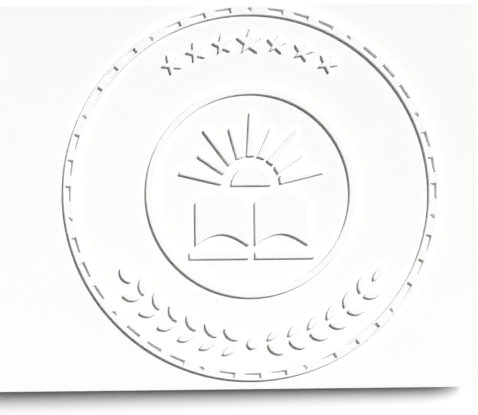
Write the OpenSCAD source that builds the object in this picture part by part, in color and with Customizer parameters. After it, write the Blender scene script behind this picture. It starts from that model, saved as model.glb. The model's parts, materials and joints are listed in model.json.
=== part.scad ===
// Desk seal embosser: a cast C-frame press with a hand lever, a cam, a sprung ram and a pair of
// round dies, and the embossed card that it has just made, which lies in front of its throat.
// Millimetres. +Z is up, +X runs out of the throat towards the card. The origin is on the desk,
// straight under the axis of the dies.

/* [Seal] */
// Outer diameter of the raised border of the seal
seal_d = 49.6; // [44:0.2:50]
// Width of the raised border band
band_w = 1.3; // [1:0.1:1.8]
// Groups of three dashes and one dot in the border
mark_groups = 11; // [8:1:12]
// Outer radius of the roundel in the middle
roundel_r = 13.9; // [12:0.1:15]
// Radius of the circle that the stars and the laurel lie on
ornament_r = 19.9; // [19:0.1:20.4]
// Height of the relief
relief_h = 0.4; // [0.3:0.05:0.6]

/* [Card] */
// Long side of the card
card_l = 88.9; // [80:0.1:100]
// Short side of the card
card_w = 50.8; // [50.8:0.1:56]
// Thickness of the card
card_t = 0.35; // [0.3:0.05:0.5]
// Gap on the desk between the base and the card
card_gap = 8; // [6:1:30]

/* [Dies] */
// Plain margin of the two dies outside the seal
die_margin = 1.2; // [1:0.1:2]
// Thickness of the upper, recessed die
upper_die_t = 6; // [5:0.5:7]
// Thickness of the lower, raised die
lower_die_t = 4; // [4:0.5:6]
// Wall of the two die holders round their dies
holder_wall = 4; // [3.5:0.5:5]

/* [Base] */
// Width of the base plate
base_w = 90; // [86:1:100]
// From the dies' axis to the rear edge of the base plate
base_rear = 128; // [124:1:150]
// Thickness of the base plate
base_t = 9.5; // [8:0.5:12]
// Thickness of the rubber sole
sole_t = 3; // [2.5:0.5:4]
// How far the sole stands out under the base plate
sole_show = 1.5; // [1:0.25:2]
// Radius of the bench screw holes
bench_hole_r = 2.8; // [2.5:0.1:3.2]
// Distance between the bench screw holes along the base
bench_pitch_x = 92; // [86:1:96]
// From the bench screw holes to the side edge of the base
bench_edge = 8; // [7.5:0.25:8]

/* [Frame] */
// From the dies' axis to the front of the neck
throat = 58; // [56:1:60]
// Thickness of the neck
neck_t = 40; // [36:1:42]
// Width of the frame's rim
rim_w = 30; // [28:1:32]
// Width of the web inside the rim
web_w = 14; // [12:1:16]
// Height of the rim round the recessed panel
rim_t = 7; // [6:0.5:8]
// Radius of the head round the ram
head_r = 20; // [19:0.5:22]
// Thickness of each of the two cheeks
cheek_t = 7.5; // [6:0.5:8]

/* [Ram] */
// Diameter of the ram
ram_d = 14; // [13:0.5:14.5]
// Thickness of the bronze bush's wall
bush_wall = 2; // [1.5:0.25:2.5]
// Diameter of the cap that the cam presses on
cap_d = 22; // [21:0.5:22]
// Wire diameter of the return spring
wire_d = 2.2; // [1.8:0.1:2.3]
// Turns of the return spring
spring_turns = 4.75; // [4:0.25:5]

/* [Lever] */
// Base circle radius of the cam: the ram's travel per radian of lever
cam_r = 9; // [8:0.25:9.5]
// Angle that the lever turns through, in degrees
lever_swing = 38; // [34:1:40]
// Angle of the raised lever above the horizontal, in degrees
lever_rest = 36; // [34:1:40]
// From the pivot to the end of the lever's flat arm
arm_l = 72; // [66:1:80]
// Length of the grip
grip_l = 88; // [80:1:96]
// Thickness of the lever's arm
arm_t = 14; // [12:0.5:16]
// Diameter of the pivot pin
pin_d = 8; // [7:0.5:9]

/* [Depth stop] */
// Diameter of the stop rod
rod_d = 6; // [5:0.5:7]
// Width of the stop plate
stop_w = 30; // [24:1:34]
// Travel of the depth stop to each side of its rest
stop_travel = 10; // [6:1:10]

/* [Hidden] */
$fn = 96;
eps = 0.01;              // overlap that joins two solids of one piece
run_gap = 0.05;          // radial clearance of a shaft that turns or slides
fit_gap = 0.02;          // radial clearance of a piece that stays put
side_gap = 0.2;          // side clearance of the lever's hub and its washers

die_d = seal_d + 2 * die_margin;
holder_d = die_d + 2 * holder_wall;

// heights, from the desk up
base_z = sole_show;
sole_seat = sole_t - sole_show;
foot_z = base_z + base_t;
foot_t = 9;
bed_z = foot_z + foot_t;
anvil_z = bed_z + 2;
lower_seat = 3;
lower_holder_t = 6;
lower_seat_z = anvil_z + lower_holder_t - lower_seat;
paper_z = lower_seat_z + lower_die_t;
ram_travel = cam_r * lever_swing * PI / 180;
upper_face_z = paper_z + card_t + ram_travel;
upper_seat = 4;
upper_seat_z = upper_face_z + upper_die_t;
upper_holder_t = 10;
upper_holder_z = upper_seat_z - upper_seat;
boss_z = upper_holder_z + upper_holder_t;
boss_h = 4;
boss_r = 13;
buffer_t = 1.6;
flange_z = boss_z + boss_h + buffer_t + run_gap;
flange_t = 2;
head_z = flange_z + flange_t;
head_h = 31;
head_top = head_z + head_h;
counterbore_depth = 8;
spring_z = head_top - counterbore_depth;
spring_l = 20;
cap_z = spring_z + spring_l;
cap_t = 5;
cap_top = cap_z + cap_t;

// lever and cam, about the pivot
cam_gap = 0.05;
cam_drop = 12;           // from the pivot down to the cap, at rest
pivot_x = cam_r;
pivot_z = cap_top + cam_drop;
hub_r = 11;
lever_bush_wall = 2;
bush_r = pin_d / 2 + lever_bush_wall;
hub_w = 20;
washer_t = 1.3;
cheek_in = hub_w / 2 + washer_t + side_gap;
cheek_out = cheek_in + cheek_t;
arm_half_root = 10;
arm_half_tip = 6.5;
tang_r = 4.5;
grip_r = 11;
ferrule_l = 3;
tang_end = 14;           // from the tang's end to the grip's
grip_start = arm_l + ferrule_l;
tang_l = grip_start + grip_l - tang_end;
grip_screw_r = 2;
grip_screw_bite = 8;

// base, foot and frame
corner_r = 14;
sole_inset = 2.5;
front_r = base_w / 2;
bench_pitch_y = base_w - 2 * bench_edge;
foot_w = 56;
foot_corner = 7;
anvil_r = holder_d / 2 + 1.5;
neck_x = -throat;
back_x = neck_x - neck_t;
foot_rear = back_x - 14;
bolt_r = 3;
bolt_head_r = 5;
bolt_head_h = 6;
bolt_bite = 6;
bolt_y = rim_w / 2 + bolt_head_r + 0.5;
bolt_spots = [[foot_rear + 8, bolt_y], [-anvil_r - 8.5, bolt_y]];
bench_x = foot_rear - 2 + bench_pitch_x / 2;
ram_bore_r = ram_d / 2 + bush_wall;
counterbore_r = cap_d / 2;

// dies
die_chamfer = 0.6;
relief_gap = 0.08;       // how much wider and deeper the upper die's drawing is cut
anvil_screw_r = 2.5;
screw_sink = anvil_screw_r;
shank_r = 5;
shank_l = 8;
stud_r = 4;
stud_l = 3;
set_r = 1.5;

// ram key
key_w = 4;
key_depth = 2;
key_z = head_z + 16;
key_up = ram_travel + key_w / 2 + 1;
key_down = key_w / 2 + 1;
guide_r = 3;
guide_head_d = 9;
spot_depth = 0.7;        // of the flat that the guide screw's head sits on

// spring
coil_r = ram_d / 2 + 0.9 + wire_d / 2;
coil_rings = 8;
coil_sides = 6;

// depth stop
rod_z = anvil_z + 10;
rod_boss_r = 8.5;
stop_t = 3;
rod_boss_out = 2;
rod_boss_rear = 5;
stop_x = neck_x + rod_boss_out + 1 + stop_travel + stop_t;
stop_h = 10;
rod_back = back_x - stop_travel - 6;
thumb_x = neck_x - neck_t / 2;
thumb_r = 2.5;
thumb_head_r = 7.5;
thumb_head_h = 6;

// card
card_x = front_r + card_gap;
seal_off = 0.5;          // from the card's middle line to the seal's centre, away from the press
seal_x = card_x + card_w / 2 + seal_off;
seal_end = 29.6;         // from the seal's centre to the near end of the card
seal_wall = 0.3;         // wall between the card's raised top and the hollow below it

function arc(c, r, a0, a1, n = 24) =
    [for (i = [0 : n]) let (a = a0 + (a1 - a0) * i / n) c + r * [cos(a), sin(a)]];
function bez(p, n = 16) =
    [for (i = [0 : n]) let (t = i / n, u = 1 - t)
        u * u * u * p[0] + 3 * u * u * t * p[1] + 3 * u * t * t * p[2] + t * t * t * p[3]];
function normal(p, i) =
    let (a = p[max(i - 1, 0)], b = p[min(i + 1, len(p) - 1)], d = b - a)
    [d[1], -d[0]] / norm(d);
function shift(p, s) = [for (i = [0 : len(p) - 1]) p[i] + s * normal(p, i)];
function reverse(p) = [for (i = [len(p) - 1 : -1 : 0]) p[i]];
function tail(p) = [for (i = [1 : len(p) - 1]) p[i]];

// A shape drawn in X and Z, w wide across Y.
module side(w) {
    rotate([90, 0, 0])
        linear_extrude(w, center = true)
            children();
}

// Each bolt of the frame, left and right.
module at_bolts() {
    for (spot = bolt_spots, s = [-1, 1])
        translate([spot[0], s * spot[1], 0])
            children();
}

// Each bench screw hole of the base.
module at_bench_holes() {
    for (sx = [-1, 1], sy = [-1, 1])
        translate([bench_x + sx * bench_pitch_x / 2, sy * bench_pitch_y / 2, 0])
            children();
}

// ---- The seal. Its drawing has +Y up. grow makes what is raised larger all round. ----

module border_marks(grow) {
    group_a = 360 / mark_groups;
    mark_r = seal_d / 2 - band_w / 2;
    dash_l = 2.0 - 2 * grow;
    mark_w = 0.62 - 2 * grow;
    for (g = [0 : mark_groups - 1]) {
        for (k = [0 : 2])
            rotate(90 - g * group_a - (k + 1) * group_a / 4)
                translate([mark_r, 0])
                    square([mark_w, dash_l], center = true);
        rotate(90 - g * group_a)
            translate([mark_r, 0])
                circle(d = mark_w, $fn = 16);
    }
}

module border(grow) {
    difference() {
        circle(r = seal_d / 2 + grow);
        circle(r = seal_d / 2 - band_w - grow);
        border_marks(grow);
    }
}

// A leaf from the origin along +X: the lens where two circles meet.
module leaf(l, w, grow) {
    big = (l * l / 4 + w * w / 4) / w;
    intersection() {
        translate([l / 2, big - w / 2])
            circle(r = big + grow, $fn = 64);
        translate([l / 2, w / 2 - big])
            circle(r = big + grow, $fn = 64);
    }
}

module star(r, grow) {
    polygon([for (i = [0 : 9]) (i % 2 == 0 ? r + 2 * grow : 0.42 * r + grow)
        * [cos(90 + 36 * i), sin(90 + 36 * i)]]);
}

// Seven stars over the roundel, the middle one largest.
module top_stars(grow) {
    star_step = 10.4;
    for (i = [-3 : 3])
        rotate(-i * star_step)
            translate([0, ornament_r])
                star(i == 0 ? 1.75 : 1.35, grow);
}

// Two laurel sprays under the roundel: leaves in pairs, one at each tip, and a berry between.
module laurel(grow) {
    first = 4.5;
    step = 8.2;
    pairs = 6;
    leaf_l = 2.3;
    leaf_w = 0.95;
    for (s = [-1, 1]) {
        for (i = [0 : pairs - 1])
            rotate(-90 + s * (first + i * step))
                translate([ornament_r, 0])
                    for (k = [-1, 1])
                        rotate(s * 90 + k * 36)
                            translate([0.55, 0])
                                leaf(leaf_l, leaf_w, grow);
        rotate(-90 + s * (first + pairs * step))
            translate([ornament_r, 0])
                rotate(s * 90)
                    leaf(leaf_l, leaf_w, grow);
    }
    rotate(-90)
        translate([ornament_r, 0])
            circle(r = 0.7 + grow, $fn = 32);
}

// Draws on the left for s below 0, and on the right otherwise.
module on_side(s) {
    mirror([s < 0 ? 1 : 0, 0])
        children();
}

// The open book in the roundel: two pages with bowed tops over a cover.
module book(grow) {
    half_w = 7.4;
    foot_y = -7.0;
    page_h = 5.6;
    bow = 1.5;
    gutter = 0.45;
    for (s = [-1, 1])
        on_side(s) polygon(concat(
            [for (i = [0 : 12]) let (t = i / 12)
                [gutter - grow + t * (half_w - gutter + 2 * grow),
                 foot_y + page_h + bow * sin(180 * t) + grow]],
            [for (i = [12 : -1 : 0]) let (t = i / 12)
                [gutter - grow + t * (half_w - gutter + 2 * grow),
                 foot_y + bow * sin(180 * t) - grow]]));
    for (s = [-1, 1])
        on_side(s)
            translate([gutter - grow, foot_y - 1.75 - grow])
                square([half_w + 0.8 - gutter + 2 * grow, 0.8 + 2 * grow]);
}

// Nine rays over a half disc that rises behind the book.
module sunrise(grow) {
    sun_y = 0.9;
    sun_r = 2.6;
    near = 3.9 - grow;
    root = 0.5 + grow;
    tip = max(0.15 + grow, 0.05);
    difference() {
        translate([0, sun_y])
            circle(r = sun_r + grow, $fn = 64);
        translate([-8, sun_y - 16 - grow])
            square([16, 16]);
    }
    translate([0, sun_y])
        for (i = [0 : 8])
            let (far = (i % 2 == 0 ? 9.6 : 8.0) + grow)
                rotate(10 + i * 20)
                    polygon([[near, -root], [far, -tip], [far, tip], [near, root]]);
}

module roundel(grow) {
    ring_w = 0.9;
    difference() {
        circle(r = roundel_r + grow);
        circle(r = roundel_r - ring_w - grow);
    }
    book(grow);
    sunrise(grow);
}

module seal_art(grow = 0) {
    border(grow);
    top_stars(grow);
    laurel(grow);
    roundel(grow);
}

// The seal as it lies: its top towards +X, the way the card is pulled out of the throat.
module seal_solid(h, grow = 0) {
    rotate([0, 0, -90])
        linear_extrude(h)
            seal_art(grow);
}

// ---- Base ----

module base_outline(inset, h) {
    translate([-base_rear + corner_r, -front_r + inset, 0])
        cube([base_rear - corner_r, base_w - 2 * inset, h]);
    translate([-base_rear + inset, -front_r + corner_r, 0])
        cube([base_rear - inset, base_w - 2 * corner_r, h]);
    for (s = [-1, 1])
        translate([-base_rear + corner_r, s * (front_r - corner_r), 0])
            cylinder(r = corner_r - inset, h = h);
    cylinder(r = front_r - inset, h = h);
}

module base_plate() {
    step = 1.5;
    sink_r = 5.2;
    sink_h = sink_r - bench_hole_r;
    color([0.09, 0.09, 0.1])
        difference() {
            union() {
                translate([0, 0, base_z])
                    base_outline(0, base_t - step);
                translate([0, 0, base_z])
                    base_outline(step, base_t);
            }
            translate([0, 0, base_z - eps])
                base_outline(sole_inset, sole_seat + eps);
            at_bolts()
                translate([0, 0, foot_z - bolt_bite - 0.5])
                    cylinder(r = bolt_r + fit_gap, h = bolt_bite + 1);
            at_bench_holes() {
                cylinder(r = bench_hole_r, h = foot_z + 1);
                translate([0, 0, foot_z - sink_h])
                    cylinder(r1 = bench_hole_r, r2 = sink_r, h = sink_h + eps);
            }
        }
}

module rubber_sole() {
    color([0.05, 0.05, 0.05])
        difference() {
            base_outline(sole_inset + 0.2, sole_t);
            at_bench_holes()
                translate([0, 0, -1])
                    cylinder(r = bench_hole_r + 0.5, h = sole_t + 2);
        }
}

module frame_bolts() {
    color([0.2, 0.2, 0.21])
        at_bolts() {
            translate([0, 0, foot_z - bolt_bite])
                cylinder(r = bolt_r, h = bolt_bite + foot_t + eps);
            difference() {
                translate([0, 0, bed_z])
                    cylinder(r = bolt_head_r, h = bolt_head_h);
                translate([0, 0, bed_z + bolt_head_h - 3])
                    cylinder(r = 2.9, h = 4, $fn = 6);
            }
        }
}

// ---- Frame ----

// The frame's outline in two sweeps, one up its back and over to the head, one up the throat.
knee_z = bed_z + 38;
waist_z = bed_z + 18;
arm_end_x = -counterbore_r - 2;
foot_end_x = -anvil_r + 6;
back_curve = concat(
    bez([[foot_rear, bed_z], [foot_rear + 9, bed_z + 2], [back_x - 2, knee_z - 20], [back_x, knee_z]]),
    tail(bez([[back_x, knee_z], [back_x + 2, knee_z + 24], [back_x + 22, head_top + 13],
         [arm_end_x, head_top]])));
throat_curve = concat(
    bez([[foot_end_x, bed_z], [neck_x + 4, bed_z], [neck_x, bed_z + 2], [neck_x, waist_z]]),
    tail(bez([[neck_x, waist_z], [neck_x, head_z - 6], [neck_x + 8, head_z], [-head_r - 8, head_z]])));

module c_profile() {
    polygon(concat([[foot_rear, foot_z]], back_curve,
        [[arm_end_x, head_z]], reverse(throat_curve), [[foot_end_x, foot_z]]));
}

// The recessed panel between the rims, one on each side of the web.
module panel_profile() {
    outer = [for (i = [9 : 27]) shift(back_curve, rim_t)[i]];
    inner = [for (i = [12 : 28]) shift(throat_curve, -rim_t)[i]];
    polygon(concat(outer, reverse(inner)));
}

module cheek_profile() {
    eye_r = 10;
    polygon(concat(
        [[-31, head_top + 1]],
        bez([[-27, head_top - 5], [-22, head_z + 14], [-8, head_z + 8], [2, head_z + 8]], 8),
        bez([[6, head_z + 8], [head_r - 4, head_z + 10], [head_r - 1, head_top - 14],
             [head_r - 1, head_top - 4]], 8),
        arc([pivot_x, pivot_z], eye_r, -2, 138)));
}

module frame_casting() {
    panel_depth = (rim_w - web_w) / 2;
    color([0.09, 0.09, 0.1])
        difference() {
            union() {
                side(rim_w)
                    c_profile();
                translate([foot_rear + foot_corner, -foot_w / 2, foot_z])
                    cube([-foot_rear - foot_corner, foot_w, foot_t]);
                translate([foot_rear, -foot_w / 2 + foot_corner, foot_z])
                    cube([-foot_rear, foot_w - 2 * foot_corner, foot_t]);
                for (s = [-1, 1])
                    translate([foot_rear + foot_corner, s * (foot_w / 2 - foot_corner), foot_z])
                        cylinder(r = foot_corner, h = foot_t);
                translate([0, 0, foot_z])
                    cylinder(r = anvil_r, h = anvil_z - foot_z);
                translate([0, 0, head_z])
                    cylinder(r = head_r, h = head_h);
                for (s = [-1, 1])
                    translate([0, s * (cheek_in + cheek_t / 2), 0])
                        side(cheek_t)
                            cheek_profile();
                translate([back_x - rod_boss_rear, 0, rod_z])
                    rotate([0, 90, 0])
                        cylinder(r = rod_boss_r, h = rod_boss_rear + neck_t + rod_boss_out);
            }
            for (s = [-1, 1])
                translate([0, s * (rim_w / 2 - panel_depth / 2 + eps), 0])
                    side(panel_depth + 2 * eps)
                        difference() {
                            panel_profile();
                            translate([thumb_x, rod_z])
                                circle(r = rod_boss_r);
                        }
            translate([0, 0, head_z - 1])
                cylinder(r = ram_bore_r, h = head_h + 2);
            translate([0, 0, spring_z])
                cylinder(r = counterbore_r, h = counterbore_depth + 1);
            translate([pivot_x, 0, pivot_z])
                rotate([90, 0, 0])
                    cylinder(r = pin_d / 2 + fit_gap, h = 2 * cheek_out + 2, center = true);
            translate([back_x - 10, 0, rod_z])
                rotate([0, 90, 0])
                    cylinder(r = rod_d / 2 + run_gap, h = neck_t + 20);
            translate([thumb_x, 0, rod_z])
                rotate([90, 0, 0])
                    cylinder(r = thumb_r + run_gap, h = rim_w);
            translate([0, 0, key_z])
                rotate([90, 0, 0]) {
                    cylinder(r = guide_r + fit_gap, h = head_r + 1);
                    translate([0, 0, head_r - spot_depth])
                        cylinder(d = guide_head_d + 1, h = 10);
                }
            at_bolts()
                translate([0, 0, foot_z - 1])
                    cylinder(r = bolt_r + 0.3, h = foot_t + 2);
            cylinder(r = anvil_screw_r + fit_gap, h = anvil_z + 1);
        }
}

// ---- Ram and dies ----

module head_bush() {
    color([0.72, 0.5, 0.28])
        difference() {
            union() {
                translate([0, 0, flange_z])
                    cylinder(r = ram_bore_r + 4, h = flange_t);
                translate([0, 0, flange_z])
                    cylinder(r = ram_bore_r - fit_gap, h = spring_z - flange_z);
            }
            translate([0, 0, flange_z - 1])
                cylinder(r = ram_d / 2 + run_gap, h = head_h);
            translate([0, 0, key_z])
                rotate([90, 0, 0])
                    cylinder(r = guide_r + fit_gap, h = ram_bore_r + 1);
        }
}

module ram() {
    color([0.78, 0.79, 0.8])
        difference() {
            union() {
                translate([0, 0, boss_z + boss_h])
                    cylinder(r = ram_d / 2, h = cap_z - boss_z - boss_h);
                translate([0, 0, boss_z + boss_h - shank_l])
                    cylinder(r = shank_r, h = shank_l + eps);
                translate([0, 0, cap_z - eps])
                    cylinder(r = stud_r, h = stud_l);
            }
            translate([-key_w / 2, -ram_d / 2 - 1, key_z - key_down])
                cube([key_w, key_depth + 1, key_up + key_down]);
        }
}

module guide_screw() {
    head_in = head_r - spot_depth;
    head_h = 3.6;
    point_in = ram_d / 2 - key_depth + 0.3;
    thread_in = ram_d / 2 + 0.4;
    color([0.75, 0.75, 0.76])
        translate([0, 0, key_z])
            rotate([90, 0, 0])
                difference() {
                    union() {
                        translate([0, 0, head_in])
                            cylinder(d = guide_head_d, h = head_h);
                        translate([0, 0, thread_in])
                            cylinder(r = guide_r, h = head_in - thread_in + eps);
                        translate([0, 0, point_in])
                            cylinder(r = key_w / 2 - 0.1, h = thread_in - point_in + eps);
                    }
                    translate([-0.6, -guide_head_d, head_in + head_h - 1.2])
                        cube([1.2, 2 * guide_head_d, 2]);
                }
}

module ram_cap() {
    color([0.8, 0.8, 0.82])
        difference() {
            union() {
                translate([0, 0, cap_z])
                    cylinder(r = cap_d / 2 - 0.5, h = cap_t - 1);
                translate([0, 0, cap_z + cap_t - 1])
                    cylinder(r1 = cap_d / 2 - 0.5, r2 = cap_d / 2 - 1.5, h = 1);
            }
            translate([0, 0, cap_z - 1])
                cylinder(r = stud_r + fit_gap, h = stud_l + 1.2);
        }
}

module buffer_washer() {
    color([0.15, 0.15, 0.15])
        translate([0, 0, boss_z + boss_h])
            difference() {
                cylinder(r = ram_bore_r + 2, h = buffer_t);
                translate([0, 0, -1])
                    cylinder(r = ram_d / 2 + 0.1, h = buffer_t + 2);
            }
}

// The spring is one tube along a helix, with open ends ground level by the seats it stands on.
function coil_point(t) =
    let (a = 360 * spring_turns * t)
    [coil_r * cos(a), coil_r * sin(a), wire_d / 2 + t * (spring_l - wire_d)];
coil_pitch = (spring_l - wire_d) / spring_turns;
coil_lean = atan(coil_pitch / (2 * PI * coil_r));
function coil_ring(t) =
    let (a = 360 * spring_turns * t, out = [cos(a), sin(a), 0],
         up = [sin(a) * sin(coil_lean), -cos(a) * sin(coil_lean), cos(coil_lean)])
    [for (k = [0 : coil_sides - 1]) let (b = 360 * k / coil_sides)
        coil_point(t) + wire_d / 2 * (cos(b) * out + sin(b) * up)];
coil_count = round(spring_turns * coil_rings);
coil_path = [for (i = [0 : coil_count]) coil_point(i / coil_count)];
echo(spring_least_gap = min([for (i = [0 : coil_count], j = [i + coil_rings / 2 : 1 : coil_count])
    norm(coil_path[i] - coil_path[j])]) - wire_d);

// A closed tube through rings of the same number of points.
module tube(rings) {
    n = len(rings[0]);
    m = len(rings);
    polyhedron(
        points = [for (r = rings, p = r) p],
        faces = concat(
            [[for (k = [0 : n - 1]) k]],
            [[for (k = [n - 1 : -1 : 0]) (m - 1) * n + k]],
            [for (i = [0 : m - 2], k = [0 : n - 1]) let (a = i * n + k, b = i * n + (k + 1) % n)
                [a, a + n, b]],
            [for (i = [0 : m - 2], k = [0 : n - 1]) let (a = i * n + k, b = i * n + (k + 1) % n)
                [b, a + n, b + n]]));
}

module return_spring() {
    color([0.6, 0.6, 0.62])
        translate([0, 0, spring_z])
            tube([for (i = [0 : coil_count]) coil_ring(i / coil_count)]);
}

module upper_holder() {
    color([0.62, 0.63, 0.65])
        difference() {
            union() {
                translate([0, 0, upper_holder_z])
                    cylinder(d = holder_d, h = upper_holder_t - 2);
                translate([0, 0, upper_holder_z + upper_holder_t - 2])
                    cylinder(d1 = holder_d, d2 = holder_d - 4, h = 2);
                translate([0, 0, boss_z - eps])
                    cylinder(r = boss_r, h = boss_h + eps);
            }
            translate([0, 0, upper_holder_z - 1])
                cylinder(d = die_d + 2 * fit_gap, h = upper_seat + 1);
            translate([0, 0, boss_z + boss_h - shank_l - 0.2])
                cylinder(r = shank_r + fit_gap, h = shank_l + 1);
            for (s = [0, 180])
                rotate([0, 0, s])
                    translate([0, die_d / 2 - 1, upper_holder_z + upper_seat / 2])
                        rotate([-90, 0, 0])
                            cylinder(r = set_r + fit_gap, h = 10);
            translate([0, 0, boss_z + boss_h / 2])
                rotate([0, 90, 0])
                    cylinder(r = set_r + fit_gap, h = boss_r + 1);
        }
}

// Grub screws: two that hold a die in its holder and, on the upper one, one that holds the ram.
module grub(l) {
    difference() {
        cylinder(r = set_r, h = l);
        translate([0, 0, l - 1.5])
            cylinder(r = 0.9, h = 2, $fn = 6);
    }
}

module die_grubs(z) {
    for (s = [0, 180])
        rotate([0, 0, s])
            translate([0, die_d / 2 + fit_gap, z])
                rotate([-90, 0, 0])
                    grub((holder_d - die_d) / 2 - 0.5);
}

module upper_grubs() {
    color([0.15, 0.15, 0.16]) {
        die_grubs(upper_holder_z + upper_seat / 2);
        translate([shank_r + fit_gap, 0, boss_z + boss_h / 2])
            rotate([0, 90, 0])
                grub(boss_r - shank_r - 0.5);
    }
}

module female_die() {
    color([0.78, 0.62, 0.3])
        difference() {
            union() {
                translate([0, 0, upper_face_z + die_chamfer])
                    cylinder(d = die_d, h = upper_die_t - die_chamfer);
                translate([0, 0, upper_face_z])
                    cylinder(d1 = die_d - 2 * die_chamfer, d2 = die_d, h = die_chamfer);
            }
            translate([0, 0, upper_face_z - 1])
                seal_solid(1 + relief_h + relief_gap, relief_gap);
        }
}

module lower_holder() {
    color([0.62, 0.63, 0.65])
        difference() {
            union() {
                translate([0, 0, anvil_z])
                    cylinder(d = holder_d, h = lower_holder_t - 1);
                translate([0, 0, anvil_z + lower_holder_t - 1])
                    cylinder(d1 = holder_d, d2 = holder_d - 2, h = 1);
            }
            translate([0, 0, lower_seat_z])
                cylinder(d = die_d + 2 * fit_gap, h = lower_seat + 1);
            translate([0, 0, anvil_z - 1])
                cylinder(r = anvil_screw_r + fit_gap, h = lower_holder_t + 2);
            translate([0, 0, lower_seat_z - screw_sink])
                cylinder(r1 = anvil_screw_r + fit_gap, r2 = anvil_screw_r + fit_gap + screw_sink,
                    h = screw_sink);
            for (s = [0, 180])
                rotate([0, 0, s])
                    translate([0, die_d / 2 - 1, lower_seat_z + lower_seat / 2])
                        rotate([-90, 0, 0])
                            cylinder(r = set_r + fit_gap, h = 10);
        }
}

module lower_grubs() {
    color([0.15, 0.15, 0.16])
        die_grubs(lower_seat_z + lower_seat / 2);
}

module anvil_screw() {
    head_gap = 0.1;
    color([0.4, 0.4, 0.42])
        difference() {
            union() {
                translate([0, 0, lower_seat_z - screw_sink + head_gap])
                    cylinder(r1 = anvil_screw_r, r2 = anvil_screw_r + screw_sink - 2 * head_gap,
                        h = screw_sink - 2 * head_gap);
                translate([0, 0, foot_z + 2])
                    cylinder(r = anvil_screw_r, h = lower_seat_z - screw_sink + head_gap - foot_z - 2 + eps);
            }
            translate([0, 0, lower_seat_z - 1.8])
                cylinder(r = 1.7, h = 3, $fn = 6);
        }
}

module male_die() {
    color([0.9, 0.86, 0.74]) {
        translate([0, 0, lower_seat_z])
            cylinder(d = die_d, h = lower_die_t - die_chamfer);
        translate([0, 0, paper_z - die_chamfer])
            cylinder(d1 = die_d, d2 = die_d - 2 * die_chamfer, h = die_chamfer);
        translate([0, 0, paper_z - eps])
            seal_solid(relief_h + eps, -relief_gap / 2);
    }
}

// ---- Lever ----

// Puts what is drawn along +X, with its upper side towards +Z, on the raised lever's axis.
module on_arm() {
    translate([pivot_x, 0, pivot_z])
        rotate([0, lever_rest, 0])
            mirror([1, 0, 0])
                children();
}

// A point of the cam, an involute that pushes a flat cap in step with the lever: when the lever
// has turned by a degrees, this point touches the cap on the ram's axis.
function cam_point(a) =
    let (s = cam_drop - cam_gap + cam_r * a * PI / 180)
    [-cam_r * cos(a) - s * sin(a), cam_r * sin(a) - s * cos(a)];
cam_end = lever_swing + 3;
arm_way = [-cos(lever_rest), sin(lever_rest)];
arm_up = [sin(lever_rest), cos(lever_rest)];
heel = 40;               // along the arm, where the cam's flank runs into its underside
arm_half_heel = arm_half_root + (arm_half_tip - arm_half_root) * heel / (arm_l - 3);

module lever_profile() {
    polygon(concat(
        [for (a = [-34 : 2 : cam_end]) cam_point(a)],
        [heel * arm_way - arm_half_heel * arm_up,
         (arm_l - 3) * arm_way - arm_half_tip * arm_up,
         arm_l * arm_way - (arm_half_tip - 1.5) * arm_up,
         arm_l * arm_way + (arm_half_tip - 1.5) * arm_up,
         (arm_l - 3) * arm_way + arm_half_tip * arm_up,
         arm_half_root * arm_up],
        [[hub_r - 2, 0]]));
}

module lever() {
    pocket_from = 22;
    pocket_to = 62;
    pocket_half = 4;
    pocket_depth = 2;
    color([0.85, 0.85, 0.87])
        difference() {
            union() {
                translate([pivot_x, 0, pivot_z])
                    side(arm_t)
                        lever_profile();
                translate([pivot_x, 0, pivot_z])
                    rotate([90, 0, 0])
                        cylinder(r = hub_r, h = hub_w, center = true);
                on_arm()
                    translate([arm_l - 1, 0, 0])
                        rotate([0, 90, 0])
                            cylinder(r = tang_r, h = tang_l - arm_l + 1);
            }
            translate([pivot_x, 0, pivot_z])
                rotate([90, 0, 0])
                    cylinder(r = bush_r, h = hub_w + 2, center = true);
            on_arm()
                translate([tang_l - grip_screw_bite, 0, 0])
                    rotate([0, 90, 0])
                        cylinder(r = grip_screw_r + fit_gap, h = grip_screw_bite + 1);
            for (s = [-1, 1])
                on_arm()
                    translate([0, s * (arm_t / 2 - pocket_depth / 2 + eps), 0]) {
                        translate([(pocket_from + pocket_to) / 2, 0, 0])
                            cube([pocket_to - pocket_from, pocket_depth + 2 * eps, 2 * pocket_half],
                                center = true);
                        for (x = [pocket_from, pocket_to])
                            translate([x, 0, 0])
                                rotate([90, 0, 0])
                                    cylinder(r = pocket_half, h = pocket_depth + 2 * eps, center = true);
                    }
        }
}

module lever_bushes() {
    bush_l = hub_w / 2 - 1;
    color([0.72, 0.5, 0.28])
        translate([pivot_x, 0, pivot_z])
            for (s = [-1, 1])
                translate([0, s * (hub_w / 2 - bush_l / 2), 0])
                    rotate([90, 0, 0])
                        difference() {
                            cylinder(r = bush_r - fit_gap, h = bush_l, center = true);
                            cylinder(r = pin_d / 2 + run_gap, h = bush_l + 2, center = true);
                        }
}

module pivot_washers() {
    washer_ring = 2.5;
    color([0.8, 0.78, 0.7])
        translate([pivot_x, 0, pivot_z])
            for (s = [-1, 1])
                translate([0, s * (hub_w / 2 + side_gap / 2 + washer_t / 2), 0])
                    rotate([90, 0, 0])
                        difference() {
                            cylinder(r = bush_r + washer_ring, h = washer_t, center = true);
                            cylinder(r = pin_d / 2 + run_gap, h = washer_t + 2, center = true);
                        }
}

pin_head_t = 2.6;
clip_t = 1;
clip_gap = 0.3;

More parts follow.
